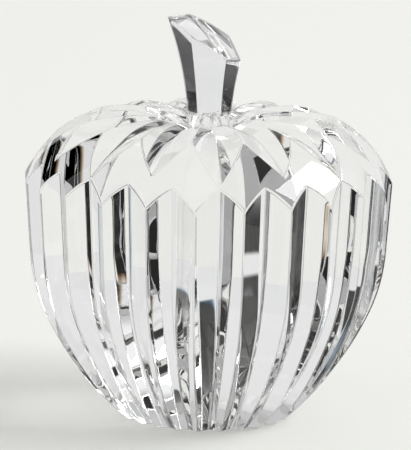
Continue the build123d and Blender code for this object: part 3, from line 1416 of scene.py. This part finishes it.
@dataclass(frozen=True)
class Studio:
    """Pale floor, soft panels and key light round the apple, in metres and watts."""

    room_light: float = 0.56
    sheet_across: tuple[float, float] = (-0.18, 0.20)
    sheet_along: tuple[float, float] = (-0.08, 1.0)
    apron_reach: float = 6.0
    lamp_size: tuple[float, float] = (4.4, 2.2)
    lamp_power: float = 265.0
    lamp_place: tuple[float, float, float] = (4.36, -0.44, 4.12)
    lamp_aim: tuple[float, float, float] = (0, 0, 0.04)

    def floor(self) -> None:
        """Makes the floor: a sheet under the apple, and an apron round it that the glass doesn't show."""
        reach = self.apron_reach
        across, along = np.meshgrid((-reach, *self.sheet_across, reach), (-reach, *self.sheet_along, reach))
        middle = Vector((sum(self.sheet_across) / 2, sum(self.sheet_along) / 2, 0))
        material = PaleFloor().material()
        for name, is_sheet in (("floor_sheet", True), ("floor_apron", False)):
            bm = bmesh.new()
            add_patch(bm, np.stack([across, along, np.zeros_like(across)], -1), Face.POLISHED)
            offsets = {face: (face.calc_center_median() - middle).length for face in bm.faces}
            spare = [face for face, offset in offsets.items() if (offset < WELD) != is_sheet]
            bmesh.ops.delete(bm, geom=spare, context="FACES")
            mesh = bpy.data.meshes.new(name)
            bm.to_mesh(mesh)
            bm.free()
            mesh.materials.append(material)
            made = bpy.data.objects.new(name, mesh)
            made.visible_glossy = is_sheet
            made.visible_transmission = is_sheet
            bpy.context.scene.collection.objects.link(made)

    @staticmethod
    def directions(tree: bpy.types.NodeTree) -> dict[str, Socket]:
        """Adds the nodes that give a ray's azimuth and height.

        Args:
            tree: the world's node tree.

        Returns:
            The angles in degrees, by the names of the panels' inputs.
        """
        nodes, links = tree.nodes, tree.links
        place = nodes.new("ShaderNodeTexCoord")
        split = nodes.new("ShaderNodeSeparateXYZ")
        links.new(place.outputs["Generated"], split.inputs["Vector"])
        angles = {}
        for name, operation, parts in (("Azimuth", "ARCTAN2", "XY"), ("Height", "ARCSINE", "Z")):
            turn = nodes.new("ShaderNodeMath")
            turn.operation = operation
            for index, part in enumerate(parts):
                links.new(split.outputs[part], turn.inputs[index])
            degrees = nodes.new("ShaderNodeMath")
            degrees.operation = "DEGREES"
            links.new(turn.outputs[0], degrees.inputs[0])
            angles[name] = degrees.outputs[0]
        return angles

    def world(self) -> None:
        """Makes the world: the room's even light, with the studio's panels laid over it."""
        world = bpy.data.worlds.new("studio")
        world.use_nodes = True
        nodes, links = world.node_tree.nodes, world.node_tree.links
        group = AreaNodes().build()
        angles = self.directions(world.node_tree)
        under = None
        for part in StudioPart:
            panel = nodes.new("ShaderNodeGroup")
            panel.node_tree = group
            panel.label = part.name.lower()
            for name, socket in angles.items():
                links.new(socket, panel.inputs[name])
            for name, value in part.value.settings().items():
                panel.inputs[name].default_value = value
            if under is None:
                panel.inputs["Under"].default_value = (*[self.room_light] * 3, 1)
            else:
                links.new(under, panel.inputs["Under"])
            under = panel.outputs["Color"]
        links.new(under, nodes["Background"].inputs["Color"])
        bpy.context.scene.world = world

    def key_light(self) -> None:
        """Makes the soft key light."""
        lamp = bpy.data.lights.new("key", "AREA")
        lamp.shape = "RECTANGLE"
        lamp.size, lamp.size_y = self.lamp_size
        lamp.energy = self.lamp_power
        made = bpy.data.objects.new("key", lamp)
        made.location = self.lamp_place
        aim = Vector(self.lamp_aim) - made.location
        made.rotation_euler = aim.to_track_quat("-Z", "Y").to_euler()
        bpy.context.scene.collection.objects.link(made)


@dataclass(frozen=True)
class PhotoCamera:
    """The camera at the photograph's angle, fitted to the corners of the cut pattern.

    Angles are in degrees, lengths in metres and the sensor in millimetres. The focal length, the long side
    and the shift are in pixels of the photograph.
    """

    turn: float = -3.6
    height: float = 11.03
    roll: float = 0.95
    distance: float = 1.0
    aim: tuple[float, float, float] = (0, 0, 0.05)
    far_end: float = 50.0
    sensor: float = 36.0
    focal_pixels: float = 4122.0
    long_side_pixels: float = 450.0
    shift_pixels: tuple[float, float] = (-2.2, -14.4)

    def place(self) -> None:
        """Makes the camera and gives it to the scene."""
        turn, height, roll = (math.radians(angle) for angle in (self.turn, self.height, self.roll))
        right = Vector((math.cos(turn), math.sin(turn), 0))
        level = Vector((-math.sin(turn), math.cos(turn), 0))
        forward = math.cos(height) * level - math.sin(height) * Vector((0, 0, 1))
        up = right.cross(forward)
        tilted_right = math.cos(roll) * right + math.sin(roll) * up
        tilted_up = math.cos(roll) * up - math.sin(roll) * right
        lens = bpy.data.cameras.new("camera")
        lens.sensor_width = self.sensor
        lens.lens = self.sensor * self.focal_pixels / self.long_side_pixels
        lens.shift_x, lens.shift_y = (shift / self.long_side_pixels for shift in self.shift_pixels)
        lens.clip_end = self.far_end
        made = bpy.data.objects.new("camera", lens)
        tilt = Matrix((tilted_right, tilted_up, -forward)).transposed().to_4x4()
        made.matrix_world = Matrix.Translation(Vector(self.aim) - self.distance * forward) @ tilt
        bpy.context.scene.collection.objects.link(made)
        bpy.context.scene.camera = made


def report(piece: bpy.types.Object) -> None:
    """Logs a piece's name and the size of its mesh."""
    log.info("%s: %d vertices, %d faces", piece.name, len(piece.data.vertices), len(piece.data.polygons))


def main() -> None:
    """Builds the crystal pieces, dresses them and sets the studio."""
    logging.basicConfig(level=logging.INFO, format="%(message)s")
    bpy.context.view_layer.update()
    crystal = Crystal().material()
    wetted = ClearFilm("wetted_joint").material()
    for part in (AppleBody(), Stem()):
        piece = part.finished()
        part.dress(piece, crystal, wetted)
        report(piece)
    report(StemBond().dress())
    studio = Studio()
    studio.floor()
    studio.world()
    studio.key_light()
    PhotoCamera().place()
    bpy.context.scene.view_settings.view_transform = "Standard"


if __name__ == "__main__":
    main()
